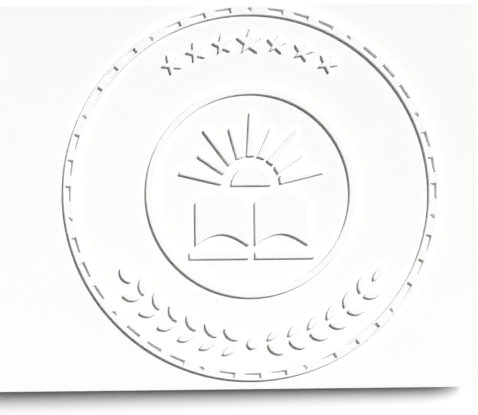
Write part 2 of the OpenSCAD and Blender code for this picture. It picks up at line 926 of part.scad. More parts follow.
module pivot_pin() {
    color([0.7, 0.71, 0.73])
        translate([pivot_x, 0, pivot_z])
            rotate([90, 0, 0])
                difference() {
                    union() {
                        translate([0, 0, -cheek_out - clip_gap - clip_t - 1.5])
                            cylinder(d = pin_d, h = 2 * cheek_out + clip_gap + clip_t + 1.5 + eps);
                        translate([0, 0, cheek_out])
                            cylinder(d = pin_d + 5, h = pin_head_t - 0.8);
                        translate([0, 0, cheek_out + pin_head_t - 0.8])
                            cylinder(d1 = pin_d + 5, d2 = pin_d + 3, h = 0.8);
                    }
                    translate([0, 0, -cheek_out - clip_gap - clip_t])
                        difference() {
                            cylinder(d = pin_d + 2, h = clip_t);
                            cylinder(d = pin_d - 1.6, h = clip_t);
                        }
                }
}

module pivot_clip() {
    clip_d = pin_d + 5;
    color([0.25, 0.25, 0.27])
        translate([pivot_x, cheek_out + clip_gap, pivot_z])
            rotate([-90, 0, 0])
                translate([0, 0, 0.05])
                    difference() {
                        cylinder(d = clip_d, h = clip_t - 0.1);
                        translate([0, 0, -1])
                            cylinder(d = pin_d - 1.5, h = clip_t + 2);
                        translate([-(pin_d - 1.5) / 2, 0, -1])
                            cube([pin_d - 1.5, clip_d, clip_t + 2]);
                    }
}

// The grip is turned round the tang: a swelling barrel with a round butt.
grip_mouth_r = 6.4;
grip_butt_r = 4;
grip_profile = concat(
    bez([[grip_mouth_r, 0], [8.6, 6], [grip_r, 18], [grip_r, grip_l * 0.5]], 14),
    tail(bez([[grip_r, grip_l * 0.5], [grip_r, grip_l * 0.72], [grip_r - 0.4, grip_l - 16],
         [grip_r - 0.1, grip_l - 11]], 8)),
    tail(bez([[grip_r - 0.1, grip_l - 11], [grip_r + 0.2, grip_l - 3.5], [grip_butt_r + 2.5, grip_l],
         [grip_butt_r, grip_l]], 10)));
grip_screw_sink = 3;     // depth of the round recess for the screw's head in the butt

module on_tang() {
    on_arm()
        translate([grip_start, 0, 0])
            rotate([0, 90, 0])
                children();
}

module grip() {
    color([0.06, 0.06, 0.06])
        on_tang()
            difference() {
                rotate_extrude()
                    polygon(concat([[0, 0]], grip_profile, [[0, grip_l]]));
                translate([0, 0, -1])
                    cylinder(r = tang_r + fit_gap, h = tang_l - grip_start + 1.2);
                translate([0, 0, tang_l - grip_start])
                    cylinder(r = grip_screw_r + fit_gap, h = tang_end + 1);
                translate([0, 0, grip_l - grip_screw_sink])
                    cylinder(r = grip_butt_r - eps, h = grip_screw_sink + 1);
            }
}

module ferrule() {
    body_r = grip_mouth_r - 0.2;
    color([0.8, 0.66, 0.36])
        on_arm()
            translate([arm_l + 0.1, 0, 0])
                rotate([0, 90, 0])
                    difference() {
                        union() {
                            cylinder(r = body_r, h = ferrule_l - 0.1);
                            translate([0, 0, 0.8])
                                cylinder(r = body_r + 0.8, h = 1.3);
                        }
                        translate([0, 0, -1])
                            cylinder(r = tang_r + fit_gap, h = ferrule_l + 2);
                    }
}

module grip_screw() {
    head_r = grip_butt_r - 0.2;
    head_t = 2.3;
    head_from = grip_l - grip_screw_sink + 0.1;
    shank_from = tang_l - grip_start - grip_screw_bite + 0.4;
    color([0.8, 0.66, 0.36])
        on_tang()
            difference() {
                union() {
                    translate([0, 0, head_from])
                        cylinder(r = head_r, h = head_t);
                    translate([0, 0, shank_from])
                        cylinder(r = grip_screw_r, h = head_from + eps - shank_from);
                }
                translate([-head_r - 1, -0.5, head_from + head_t - 1])
                    cube([2 * head_r + 2, 1, 2]);
            }
}

// ---- Depth stop ----

module stop_rod() {
    color([0.8, 0.81, 0.83])
        translate([rod_back, 0, rod_z])
            rotate([0, 90, 0]) {
                cylinder(d1 = rod_d - 1, d2 = rod_d, h = 0.5);
                translate([0, 0, 0.5 - eps])
                    cylinder(d = rod_d, h = stop_x - stop_t - rod_back - 0.5 + eps);
            }
}

module stop_plate() {
    corner = 3;
    color([0.8, 0.66, 0.36])
        translate([stop_x - stop_t, 0, rod_z])
            rotate([0, 90, 0]) {
                difference() {
                    union() {
                        cube([stop_h, stop_w - 2 * corner, 2 * stop_t], center = true);
                        cube([stop_h - 2 * corner, stop_w, 2 * stop_t], center = true);
                        for (sx = [-1, 1], sy = [-1, 1])
                            translate([sx * (stop_h / 2 - corner), sy * (stop_w / 2 - corner), -stop_t])
                                cylinder(r = corner, h = 2 * stop_t);
                    }
                    translate([0, 0, -2 * stop_t])
                        cube([stop_h + 2, stop_w + 2, 4 * stop_t], center = true);
                }
            }
}

module thumb_screw() {
    knurls = 28;
    stem = rim_w / 2 + 2;
    color([0.8, 0.66, 0.36])
        translate([thumb_x, 0, rod_z])
            rotate([90, 0, 0]) {
                translate([0, 0, rod_d / 2 + 0.15])
                    cylinder(r = thumb_r, h = stem - rod_d / 2);
                difference() {
                    union() {
                        translate([0, 0, stem])
                            cylinder(r1 = thumb_head_r - 1, r2 = thumb_head_r, h = 1);
                        translate([0, 0, stem + 1 - eps])
                            cylinder(r = thumb_head_r, h = thumb_head_h - 2 + 2 * eps);
                        translate([0, 0, stem + thumb_head_h - 1])
                            cylinder(r1 = thumb_head_r, r2 = thumb_head_r - 1, h = 1);
                    }
                    for (i = [0 : knurls - 1])
                        rotate([0, 0, i * 360 / knurls])
                            translate([thumb_head_r + 0.15, 0, stem - 1])
                                cylinder(r = 0.5, h = thumb_head_h + 2, $fn = 4);
                    translate([0, 0, stem + thumb_head_h - 0.8])
                        cylinder(r = 4, h = 2);
                }
            }
}

// ---- Card ----

// A formed sheet: the seal stands up from it, and is hollow below.
module card() {
    color([0.98, 0.98, 0.97])
        difference() {
            union() {
                translate([card_x, -seal_end, 0])
                    cube([card_w, card_l, card_t]);
                translate([seal_x, 0, 0])
                    seal_solid(card_t + relief_h);
            }
            translate([seal_x, 0, -eps])
                seal_solid(relief_h + eps, -seal_wall);
        }
}

base_plate();
rubber_sole();
frame_bolts();
frame_casting();
head_bush();
guide_screw();
ram();
ram_cap();
buffer_washer();
return_spring();
upper_holder();
upper_grubs();
female_die();
lower_holder();
lower_grubs();
anvil_screw();
male_die();
lever();
lever_bushes();
pivot_washers();
pivot_pin();
pivot_clip();
grip();
ferrule();
grip_screw();
stop_rod();
stop_plate();
thumb_screw();
card();
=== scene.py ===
import json
import math

import bmesh
import bpy
import numpy as np
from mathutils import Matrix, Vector, geometry, kdtree


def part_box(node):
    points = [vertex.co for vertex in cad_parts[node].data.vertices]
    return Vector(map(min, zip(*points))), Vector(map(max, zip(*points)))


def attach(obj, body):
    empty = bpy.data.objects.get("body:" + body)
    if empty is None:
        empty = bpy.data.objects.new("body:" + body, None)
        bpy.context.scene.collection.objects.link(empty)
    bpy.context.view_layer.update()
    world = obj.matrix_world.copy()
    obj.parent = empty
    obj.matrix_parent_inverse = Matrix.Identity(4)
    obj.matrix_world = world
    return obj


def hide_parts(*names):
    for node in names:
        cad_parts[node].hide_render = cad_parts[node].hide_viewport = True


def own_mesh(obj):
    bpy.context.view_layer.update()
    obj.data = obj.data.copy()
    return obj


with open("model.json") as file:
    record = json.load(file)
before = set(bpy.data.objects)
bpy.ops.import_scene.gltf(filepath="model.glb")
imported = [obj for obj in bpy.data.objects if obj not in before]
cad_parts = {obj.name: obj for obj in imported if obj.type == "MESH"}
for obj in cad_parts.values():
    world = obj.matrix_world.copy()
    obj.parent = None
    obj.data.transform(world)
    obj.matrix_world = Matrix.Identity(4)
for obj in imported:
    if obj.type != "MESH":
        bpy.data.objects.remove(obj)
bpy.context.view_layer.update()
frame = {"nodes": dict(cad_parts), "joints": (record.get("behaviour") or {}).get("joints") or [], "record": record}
nodes = frame["nodes"]
joints = {joint["name"]: joint for joint in frame["joints"]}
mounts = {mount["name"]: mount for mount in frame["record"]["mounts"]}
scene = bpy.context.scene

# ---------------------------------------------------------------- sizes from the frame, in millimetres

MM = 0.001


def in_mm(place):
    """A place in metres as millimetres, without the last digits that the frame's file rounds off."""
    return [round(c / MM, 3) for c in place]


def corners(node):
    """The lowest and the highest corner of a CAD node."""
    low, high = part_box(node)
    return in_mm(low), in_mm(high)


def middle(node):
    """The middle of a CAD node's box."""
    low, high = corners(node)
    return [(a + b) / 2 for a, b in zip(low, high)]


(CARD_X0, CARD_Y0, _), (CARD_X1, CARD_Y1, _) = corners("card")
BASE_LOW, BASE_HIGH = corners("base_plate")
LEVER_HIGH = corners("lever")[1]
DIE_R = corners("male_die")[1][0]
SOLE_TOP = corners("rubber_sole")[1][2]
CAP_LOW, CAP_TOP = (corner[2] for corner in corners("ram_cap"))
SPRING_FOOT = corners("head_bush")[1][2]
SPRING_OUT = corners("return_spring")[1][0]
GUIDE = middle("guide_screw")
PIN = in_mm(joints["lever_hinge"]["pos_m"])
THUMB = in_mm(joints["thumb_turn"]["pos_m"])
FERRULE = middle("ferrule")

# The arm's rise at rest, and the way along the arm.
LEAN = math.radians(round(math.degrees(math.atan2(FERRULE[2] - PIN[2], PIN[0] - FERRULE[0])), 1))
ARM_WAY = (-math.cos(LEAN), 0.0, math.sin(LEAN))
ARM_UP = (math.sin(LEAN), 0.0, math.cos(LEAN))

# ---------------------------------------------------------------- materials

NOISE_SPAN = (0.3, 0.7)  # a noise's values seldom leave this span
PATCH_SPAN = (0.42, 0.62)  # the noise where a patch of wear begins, and where it is at its fullest
BARE_EDGE = (0.51, 0.55)  # pointiness of an edge that begins to shine, and of one rubbed bare
RINGS_PER_M = 5200
RING_DEPTH = 0.000004  # in metres
BRUSHED_PER_M = 1800  # lines across the brushing
FLAT_SHARE = 0.83  # pitch of the rings on a flat face, as a share of their pitch on the round
DULLED = 0.93  # the darkest that a plain metal gets, as a share of its colour

RAM_AXIS = (0, 0, 1)
ACROSS = (0, 1, 0)
LENGTHWISE = (1, 0, 0)

STEEL = (0.56, 0.57, 0.59)
NICKEL = (0.58, 0.565, 0.54)
BRASS = (0.80, 0.58, 0.25)
BRONZE = (0.62, 0.37, 0.17)


def shader(material):
    return material.node_tree.nodes["Principled BSDF"]


def new_material(name, base, rough, metal=0.0, **inputs):
    """A Principled material. Further inputs go by their names, with _ for a blank."""
    material = bpy.data.materials.new(name)
    material.use_nodes = True
    material.diffuse_color = (*base, 1)
    shader(material).inputs["Base Color"].default_value = (*base, 1)
    shader(material).inputs["Roughness"].default_value = rough
    shader(material).inputs["Metallic"].default_value = metal
    for key, value in inputs.items():
        shader(material).inputs[key.replace("_", " ")].default_value = value
    return material


def add(material, kind, **settings):
    """A new node of a material."""
    node = material.node_tree.nodes.new(kind)
    for key, value in settings.items():
        setattr(node, key, value)
    return node


def join(material, source, out, target, into):
    """Links an output of one node to an input of another."""
    material.node_tree.links.new(source.outputs[out], target.inputs[into])


def noise_node(material, scale, detail=3.0, stretch=(1, 1, 1), rough=0.5, turn=0.0):
    """A noise over the object's own coordinates, turned about Y. scale is in features per metre."""
    where = add(material, "ShaderNodeTexCoord")
    around = add(material, "ShaderNodeMapping")
    around.inputs["Rotation"].default_value = (0, turn, 0)
    mapping = add(material, "ShaderNodeMapping")
    mapping.inputs["Scale"].default_value = stretch
    noise = add(material, "ShaderNodeTexNoise")
    noise.inputs["Scale"].default_value = scale
    noise.inputs["Detail"].default_value = detail
    noise.inputs["Roughness"].default_value = rough
    join(material, where, "Object", around, "Vector")
    join(material, around, "Vector", mapping, "Vector")
    join(material, mapping, "Vector", noise, "Vector")
    return noise


def spread(material, source, out, span, low=0.0, high=1.0):
    """A node that takes a source's values from a span to low and high."""
    node = add(material, "ShaderNodeMapRange")
    node.inputs["From Min"].default_value = span[0]
    node.inputs["From Max"].default_value = span[1]
    node.inputs["To Min"].default_value = low
    node.inputs["To Max"].default_value = high
    join(material, source, out, node, "Value")
    return node


def roughen(material, noise, low, high):
    """The roughness goes from low to high with a noise."""
    ranged = spread(material, noise, "Fac", NOISE_SPAN, low, high)
    join(material, ranged, "Result", shader(material), "Roughness")


def bump(material, noise, distance, strength=1.0, under=None):
    """A noise as unevenness of the surface, in metres, on top of another bump if one is given."""
    node = add(material, "ShaderNodeBump")
    node.inputs["Distance"].default_value = distance
    node.inputs["Strength"].default_value = strength
    join(material, noise, "Fac", node, "Height")
    if under is not None:
        join(material, under, "Normal", node, "Normal")
    join(material, node, "Normal", shader(material), "Normal")
    return node


def tint(material, noise, low, high):
    """The base colour goes from low to high with a noise."""
    mix = add(material, "ShaderNodeMix", data_type="RGBA")
    mix.inputs["A"].default_value = (*low, 1)
    mix.inputs["B"].default_value = (*high, 1)
    join(material, spread(material, noise, "Fac", NOISE_SPAN), "Result", mix, "Factor")
    join(material, mix, "Result", shader(material), "Base Color")


def wear(material, noise, worn):
    """Rubbed edges: where the mesh sticks out the tinted base colour goes to worn, in patches."""
    shape = add(material, "ShaderNodeNewGeometry")
    amount = add(material, "ShaderNodeMath", operation="MULTIPLY")
    join(material, spread(material, shape, "Pointiness", BARE_EDGE), "Result", amount, 0)
    join(material, spread(material, noise, "Fac", PATCH_SPAN), "Result", amount, 1)
    mix = add(material, "ShaderNodeMix", data_type="RGBA")
    tinted = shader(material).inputs["Base Color"].links[0].from_socket
    material.node_tree.links.new(tinted, mix.inputs["A"])
    mix.inputs["B"].default_value = (*worn, 1)
    join(material, amount, "Value", mix, "Factor")
    join(material, mix, "Result", shader(material), "Base Color")


def from_axis(material, axis, through):
    """A node that grows with the distance from an axis and, more slowly, along it."""
    where = add(material, "ShaderNodeTexCoord")
    off = add(material, "ShaderNodeVectorMath", operation="SUBTRACT")
    off.inputs[1].default_value = [c * MM for c in through]
    across = add(material, "ShaderNodeVectorMath", operation="CROSS_PRODUCT")
    across.inputs[1].default_value = axis
    size = add(material, "ShaderNodeVectorMath", operation="LENGTH")
    along = add(material, "ShaderNodeVectorMath", operation="DOT_PRODUCT")
    along.inputs[1].default_value = axis
    both = add(material, "ShaderNodeMath", operation="MULTIPLY_ADD")
    both.inputs[1].default_value = FLAT_SHARE
    join(material, where, "Object", off, 0)
    join(material, off, "Vector", across, 0)
    join(material, off, "Vector", along, 0)
    join(material, across, "Vector", size, 0)
    join(material, along, "Value", both, 0)
    join(material, size, "Value", both, 2)
    return both


def turned_metal(name, base, low, high, axis=RAM_AXIS, through=(0, 0, 0)):
    """A metal with fine lathe rings about an axis through a point, in its roughness and as a bump."""
    material = new_material(name, base, low, 1.0)
    noise = add(material, "ShaderNodeTexNoise", noise_dimensions="1D")
    noise.inputs["Scale"].default_value = RINGS_PER_M
    noise.inputs["Detail"].default_value = 2
    join(material, from_axis(material, axis, through), "Value", noise, "W")
    roughen(material, noise, low, high)
    bump(material, noise, RING_DEPTH)
    return material


def brushed_metal(name, base, low, high, stretch, turn, depth):
    """A metal brushed along the axis that has the smallest scale in stretch, turned about Y."""
    material = new_material(name, base, low, 1.0)
    noise = noise_node(material, BRUSHED_PER_M, 3, stretch, turn=turn)
    roughen(material, noise, low, high)
    bump(material, noise, depth)
    return material


def plain_metal(name, base, low, high, scale):
    """A metal with a cloudy finish and no direction."""
    material = new_material(name, base, low, 1.0)
    noise = noise_node(material, scale, 5)
    roughen(material, noise, low, high)
    tint(material, noise, tuple(DULLED * c for c in base), base)
    return material


def cast_enamel():
    """Stoved enamel over a cast surface, rubbed at its edges."""
    material = new_material("stoved_enamel", (0.016, 0.018, 0.020), 0.34, Coat_Weight=0.35,
                            Coat_Roughness=0.12)
    coarse = noise_node(material, 260, 4)
    roughen(material, coarse, 0.26, 0.42)
    waves = bump(material, coarse, 0.00022)
    bump(material, noise_node(material, 1500, 2), 0.00005, 0.8, waves)
    tint(material, coarse, (0.012, 0.0135, 0.015), (0.024, 0.026, 0.028))
    wear(material, noise_node(material, 500, 5), (0.10, 0.10, 0.097))
    return material


def flat_enamel():
    """The same enamel over a flat plate."""
    material = new_material("base_enamel", (0.018, 0.020, 0.022), 0.36, Coat_Weight=0.3,
                            Coat_Roughness=0.15)
    coarse = noise_node(material, 420, 4)
    roughen(material, coarse, 0.28, 0.44)
    bump(material, coarse, 0.00012)
    tint(material, coarse, (0.014, 0.0155, 0.017), (0.026, 0.028, 0.030))
    return material


def rubber():
    material = new_material("rubber", (0.028, 0.028, 0.028), 0.72, Specular_IOR_Level=0.35)
    noise = noise_node(material, 1400)
    roughen(material, noise, 0.62, 0.82)
    bump(material, noise, 0.00003)
    return material


def resin():
    material = new_material("counter_resin", (0.80, 0.71, 0.50), 0.42, Subsurface_Weight=0.15,
                            Subsurface_Radius=(0.0012, 0.0009, 0.0005))
    noise = noise_node(material, 140, 5)
    tint(material, noise, (0.76, 0.66, 0.45), (0.83, 0.75, 0.55))
    roughen(material, noise, 0.34, 0.5)
    return material


def phenolic():
    material = new_material("polished_grip", (0.008, 0.008, 0.009), 0.16, Coat_Weight=0.6,
                            Coat_Roughness=0.05)
    noise = noise_node(material, 70, 6, rough=0.65)
    roughen(material, noise, 0.10, 0.26)
    bump(material, noise, 0.00003, 0.5)
    return material


def card_stock():
    material = new_material("card_stock", (0.935, 0.935, 0.925), 0.62, Specular_IOR_Level=0.15)
    bump(material, noise_node(material, 2600, 5, rough=0.65), 0.000004, 0.5)
    tint(material, noise_node(material, 60), (0.930, 0.930, 0.921), (0.940, 0.940, 0.929))
    return material


# ---------------------------------------------------------------- objects and modifiers

SEAM = 0.000004  # in metres: points of two faces that lie closer than this become one
SHARP = math.radians(32)
COPLANAR = math.radians(0.4)
NORMAL_WEIGHT = 90  # above 50 the larger faces decide the normals, and stay flat


def shade_smooth(mesh):
    mesh.polygons.foreach_set("use_smooth", [True] * len(mesh.polygons))


def put(name, verts, faces):
    """A new smooth object, from points in millimetres."""
    mesh = bpy.data.meshes.new(name)
    mesh.from_pydata([tuple(MM * c for c in v) for v in verts], [], [tuple(f) for f in faces])
    mesh.validate()
    mesh.update()
    shade_smooth(mesh)
    obj = bpy.data.objects.new(name, mesh)
    scene.collection.objects.link(obj)
    return obj


def paint(obj, material):
    obj.data.materials.clear()
    obj.data.materials.append(material)


def weld(obj):
    obj.modifiers.new("weld", "WELD").merge_threshold = SEAM


def soften(obj, width, segments):
    """Rounds a CAD node's sharp edges for the looks, width in millimetres."""
    weld(obj)
    flat = obj.modifiers.new("flat", "DECIMATE")
    flat.decimate_type = "DISSOLVE"
    flat.angle_limit = COPLANAR
    bevel = obj.modifiers.new("bevel", "BEVEL")
    bevel.width = width * MM
    bevel.segments = segments
    bevel.limit_method = "ANGLE"
    bevel.angle_limit = SHARP
    bevel.use_clamp_overlap = False
    bevel.miter_outer = "MITER_ARC"
    normals = obj.modifiers.new("normals", "WEIGHTED_NORMAL")
    normals.keep_sharp = False
    normals.weight = NORMAL_WEIGHT
    shade_smooth(obj.data)


# ---------------------------------------------------------------- flat outlines

SHARPEST = 0.5  # least cosine that a corner's offset is reckoned with
SIDES_TRIED = 6  # how many sides near a point are measured to find the nearest


def quarter(n):
    """The angles of a quarter turn in n steps."""
    return [math.pi / 2 * k / n for k in range(n + 1)]


def block(x0, y0, x1, y1):
    return [(x0, y0), (x1, y0), (x1, y1), (x0, y1)]


def arc(cx, cy, r, start, end, steps):
    turns = [math.radians(start + (end - start) * k / steps) for k in range(steps + 1)]
    return [(cx + r * math.cos(t), cy + r * math.sin(t)) for t in turns]


def circle(r, sides, x=0.0):
    turns = [2 * math.pi * k / sides for k in range(sides)]
    return [(x + r * math.cos(t), r * math.sin(t)) for t in turns]


def spun(points, degrees):
    c, s = math.cos(math.radians(degrees)), math.sin(math.radians(degrees))
    return [(c * x - s * y, s * x + c * y) for x, y in points]


def moved(points, x, y):
    return [(px + x, py + y) for px, py in points]


def mirrored(points):
    return [(-x, y) for x, y in reversed(points)]


def filled(loop, step):
    """The same outline with points at most step apart."""
    made = []
    for i, a in enumerate(loop):
        b = loop[(i + 1) % len(loop)]
        n = max(1, math.ceil(math.dist(a, b) / step))
        made += [(a[0] + (b[0] - a[0]) * k / n, a[1] + (b[1] - a[1]) * k / n) for k in range(n)]
    return made


def counterclockwise(outline):
    """The outline as an array that runs counterclockwise."""
    outline = np.array(outline)
    x, y = outline[:, 0], outline[:, 1]
    area = np.sum(x * np.roll(y, -1) - np.roll(x, -1) * y)
    return outline if area > 0 else outline[::-1].copy()


def outward(outline):
    """The way out at every point, and how much longer it is there for offset sides to stay parallel."""
    before = outline - np.roll(outline, 1, 0)
    after = np.roll(outline, -1, 0) - outline
    out_before = np.stack([before[:, 1], -before[:, 0]], 1) / np.linalg.norm(before, axis=1)[:, None]
    out_after = np.stack([after[:, 1], -after[:, 0]], 1) / np.linalg.norm(after, axis=1)[:, None]
    way = out_before + out_after
    way /= np.linalg.norm(way, axis=1)[:, None]
    return way, 1 / np.maximum(np.sum(way * out_before, 1), SHARPEST)


def offset(outline, d):
    """The outline moved out by d, or in where d is negative."""
    way, longer = outward(outline)
    return outline + way * (d * longer)[:, None]


def inside_count(points, outlines):
    """How many outlines each point lies in."""
    count = np.zeros(len(points), int)
    for outline in outlines:
        low, high = outline.min(0), outline.max(0)
        near = np.where(np.all((points > low) & (points < high), axis=1))[0]
        if not len(near):
            continue
        px, py = points[near, 0][:, None], points[near, 1][:, None]
        x1, y1 = outline[:, 0][None], outline[:, 1][None]
        x2, y2 = np.roll(outline[:, 0], -1)[None], np.roll(outline[:, 1], -1)[None]
        crosses = (y1 > py) != (y2 > py)
        with np.errstate(divide="ignore", invalid="ignore"):
            at = x1 + (py - y1) * (x2 - x1) / (y2 - y1)
        count[near] += np.sum(crosses & (px < at), axis=1) % 2
    return count


def nearest(points, outlines):
    """The distance to the nearest outline, the nearest point on it, and its normal there."""
    starts = np.concatenate(outlines)
    ends = np.concatenate([np.roll(o, -1, 0) for o in outlines])
    tree = kdtree.KDTree(len(starts))
    for i, p in enumerate((starts + ends) / 2):
        tree.insert((p[0], p[1], 0), i)
    tree.balance()
    close = np.array([[hit[1] for hit in tree.find_n((x, y, 0), SIDES_TRIED)] for x, y in points])
    best = np.full(len(points), np.inf)
    foot = np.zeros((len(points), 2))
    normal = np.zeros((len(points), 2))
    for side in close.T:
        start, along = starts[side], ends[side] - starts[side]
        share = np.clip(np.sum((points - start) * along, 1) / np.sum(along * along, 1), 0, 1)
        spot = start + share[:, None] * along
        far = np.linalg.norm(points - spot, axis=1)
        better = far < best
        best[better] = far[better]
        foot[better] = spot[better]
        out = np.stack([along[:, 1], -along[:, 0]], 1) / np.linalg.norm(along, axis=1)[:, None]
        normal[better] = out[better]
    return best, foot, normal


# ---------------------------------------------------------------- the seal, with its top at +Y

DIE_MARGIN = 1.2  # between the seal and the edge of its die
SEAL_R = DIE_R - DIE_MARGIN
BAND = 1.3  # between the border's two circles
MARK_R = SEAL_R - BAND / 2
MARK_GROUPS = 11
MARK_HALF = 0.31  # half the width of a dash and of a dot
DASH_HALF = 1.0
ORNAMENT_R = 19.9  # of the arcs that the stars and the leaves lie on
STARS, STAR_STEP = 7, 10.4
STAR_R, MID_STAR_R, STAR_WAIST = 1.35, 1.75, 0.42
LEAF_L, LEAF_W = 2.3, 0.95
LEAF_PAIRS, LEAF_FIRST, LEAF_STEP, LEAF_SPREAD, STALK = 6, 4.5, 8.2, 36, 0.55
BERRY_R = 0.7
ROUNDEL_R, ROUNDEL_RIM = 13.9, 0.9
GUTTER = 0.45  # from the book's middle to its pages
PAGE_W, PAGE_H, PAGE_FOOT, PAGE_SWELL = 6.95, 5.6, -7.0, 1.5
COVER_DROP, COVER_T, COVER_PROUD = 0.95, 0.8, 0.8
HORIZON, SUN_R = 0.9, 2.6  # the horizon's height over the seal's middle, and the sun's size
RAYS, RAY_FROM, RAY_LONG, RAY_SHORT = 9, 3.9, 9.6, 8.0
RAY_FIRST, RAY_STEP, RAY_ROOT, RAY_TIP = 10, 20, 0.5, 0.15
ROUND_PITCH = 0.3  # between the points of a large circle
DASH_PITCH, STAR_PITCH, COVER_PITCH, SUN_PITCH = 0.35, 0.4, 0.45, 0.4
LEAF_STEPS, PAGE_STEPS, PAGE_END_STEPS = 9, 24, 12


def round_line(r):
    return circle(r, int(2 * math.pi * r / ROUND_PITCH))


def border():
    """Two circles, and between them groups of three dashes and a dot."""
    dash = filled(block(MARK_R - MARK_HALF, -DASH_HALF, MARK_R + MARK_HALF, DASH_HALF), DASH_PITCH)
    made = [round_line(SEAL_R), round_line(SEAL_R - BAND)]
    step = 360 / MARK_GROUPS
    for g in range(MARK_GROUPS):
        made += [spun(dash, 90 - g * step - (k + 1) * step / 4) for k in range(3)]
        made.append(spun(circle(MARK_HALF, 12, MARK_R), 90 - g * step))
    return made


def star(r):
    """A star of five points, one of them up."""
    tips = [r if k % 2 == 0 else r * STAR_WAIST for k in range(10)]
    turns = [math.radians(90 + 36 * k) for k in range(10)]
    return filled([(reach * math.cos(t), reach * math.sin(t)) for reach, t in zip(tips, turns)], STAR_PITCH)


def stars():
    """An arc of stars above the roundel, with a larger one in its middle."""
    made = []
    for i in range(STARS):
        place = i - STARS // 2
        outline = moved(star(MID_STAR_R if place == 0 else STAR_R), 0, ORNAMENT_R)
        made.append(spun(outline, -place * STAR_STEP))
    return made


def leaf():
    """A lens from the origin along +X, as two arcs."""
    big = (LEAF_L ** 2 / 4 + LEAF_W ** 2 / 4) / LEAF_W
    half = math.asin(LEAF_L / 2 / big)
    turns = [half * (2 * k / LEAF_STEPS - 1) for k in range(LEAF_STEPS + 1)]
    lower = [(LEAF_L / 2 + big * math.sin(t), big - LEAF_W / 2 - big * math.cos(t)) for t in turns]
    upper = [(x, -y) for x, y in reversed(lower)]
    return lower + upper[1:-1]


def laurel():
    """Two sprigs of leaves that meet at a berry below the roundel."""
    made = []
    for side in (-1, 1):
        for i in range(LEAF_PAIRS):
            for k in (-1, 1):
                one = spun(moved(leaf(), STALK, 0), side * 90 + k * LEAF_SPREAD)
                made.append(spun(moved(one, ORNAMENT_R, 0), -90 + side * (LEAF_FIRST + i * LEAF_STEP)))
        last = moved(spun(leaf(), side * 90), ORNAMENT_R, 0)
        made.append(spun(last, -90 + side * (LEAF_FIRST + LEAF_PAIRS * LEAF_STEP)))
    made.append(spun(circle(BERRY_R, 18, ORNAMENT_R), -90))
    return made


def book():
    """An open book: two swelling pages and a cover's edge under each."""
    out = GUTTER + PAGE_W
    steps = [k / PAGE_STEPS for k in range(PAGE_STEPS + 1)]
    lower = [(GUTTER + t * PAGE_W, PAGE_FOOT + PAGE_SWELL * math.sin(math.pi * t)) for t in steps]
    upper = [(x, y + PAGE_H) for x, y in reversed(lower)]
    side = [(out, PAGE_FOOT + PAGE_H * k / PAGE_END_STEPS) for k in range(1, PAGE_END_STEPS)]
    spine = [(GUTTER, PAGE_FOOT + PAGE_H * (1 - k / PAGE_END_STEPS)) for k in range(1, PAGE_END_STEPS)]
    page = lower + side + upper + spine
    cover_top = PAGE_FOOT - COVER_DROP
    cover = filled(block(GUTTER, cover_top - COVER_T, out + COVER_PROUD, cover_top), COVER_PITCH)
    return [page, mirrored(page), cover, mirrored(cover)]


def sunrise():
    """Half a sun on the horizon, with long and short rays by turns."""
    made = [filled(arc(0, 0, SUN_R, 0, 180, 30), SUN_PITCH)]
    for i in range(RAYS):
        out = RAY_LONG if i % 2 == 0 else RAY_SHORT
        ray = [(RAY_FROM, -RAY_ROOT), (out, -RAY_TIP), (out, RAY_TIP), (RAY_FROM, RAY_ROOT)]
        made.append(spun(filled(ray, SUN_PITCH), RAY_FIRST + RAY_STEP * i))
    return [moved(outline, 0, HORIZON) for outline in made]


def seal_outlines():
    """Every outline of the seal. What lies inside an odd number of them is raised."""
    roundel = [round_line(ROUNDEL_R), round_line(ROUNDEL_R - ROUNDEL_RIM)]
    outlines = border() + stars() + laurel() + roundel + book() + sunrise()
    return [counterclockwise(outline) for outline in outlines]


# ---------------------------------------------------------------- the card

CARD_T = 0.35
PAST_CAD = 0.2  # how much further than the CAD card the photographed one reaches at its right edge
SEAL_OFF = 0.5  # from the card's middle line, away from the press
SEAL_X = (CARD_X0 + CARD_X1) / 2 + SEAL_OFF
RELIEF = 0.43
FLANK = 0.08  # from an outline to the top and to the foot of the relief's flank
ON_OUTLINE = 1e-3  # a point nearer than this to an outline counts as lying on it
BESIDE = 0.03  # from a point on an outline to the one that tells which side is raised
BOW_H, BOW_L = 2.2, 50.0  # its lift at the card's edge, and how far in from there it begins
BOW_CURVE = 1.25  # the power that the bow rises with
BOW_LEAN = 0.006  # the share by which it grows for each millimetre along Y
BOW_PULL = 0.02  # how far it draws the card's edge in
EDGE_PITCH, GRID_PITCH, GRID_CLEAR = 0.9, 1.45, 0.45
NET_TOUCH = 1e-6  # lines of the card's net that come closer than this meet


def card_net(outlines):
    """Points and triangles of the flat card about the seal's middle, with lines along every flank."""
    points, edges = [], []

    def add_loop(loop):
        first, n = len(points), len(loop)
        points.extend(map(tuple, loop))
        edges.extend((first + i, first + (i + 1) % n) for i in range(n))

    left, right = -CARD_Y1, PAST_CAD - CARD_Y0
    low, high = CARD_X0 - SEAL_X, CARD_X1 - SEAL_X
    add_loop(filled(block(left, low, right, high), EDGE_PITCH))
    for outline in outlines:
        for share in (-1, -0.5, 0, 0.5, 1):
            add_loop(offset(outline, share * FLANK))
    grid = np.array([(x, y) for x in np.arange(left + GRID_PITCH / 2, right, GRID_PITCH)
                     for y in np.arange(low + GRID_PITCH / 2, high, GRID_PITCH)])
    far, _, _ = nearest(grid, outlines)
    points.extend(map(tuple, grid[far > GRID_CLEAR]))
    made = geometry.delaunay_2d_cdt([Vector(p) for p in points], edges, [], 0, NET_TOUCH, False)
    return np.array([(v[0], v[1]) for v in made[0]]), [tuple(f) for f in made[2]]


